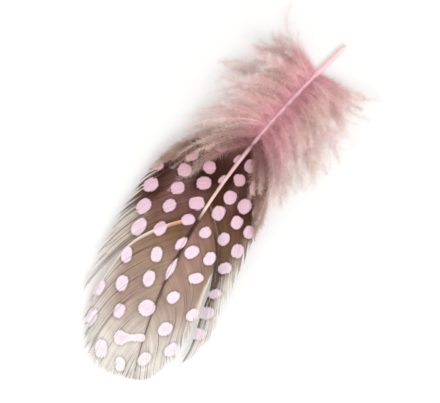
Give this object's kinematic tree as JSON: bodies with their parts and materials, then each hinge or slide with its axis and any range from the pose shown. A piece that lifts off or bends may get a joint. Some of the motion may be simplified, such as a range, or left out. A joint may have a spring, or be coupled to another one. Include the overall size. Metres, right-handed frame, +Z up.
{
  "type": "guinea fowl feather",
  "caption": "Spotted body feather of a guinea fowl lying flat: curved shaft, broad asymmetric vane with open splits, fluffy down at the base.",
  "frame": {"origin": "on the surface that the feather lies on, under the middle of the bare quill's flat underside", "axes": "+Y along the surface from the quill towards the feather's tip, +Z up out of the feather's upper side, +X to its right seen from above"},
  "size_m": [0.0389, 0.1006, 0.0082],
  "materials": {
    "feather": "matt, with pale pink spots, a glossy quill and soft pink down"
  },
  "bodies": {
    "root": {"feather": "feather"}
  },
  "joints": []
}
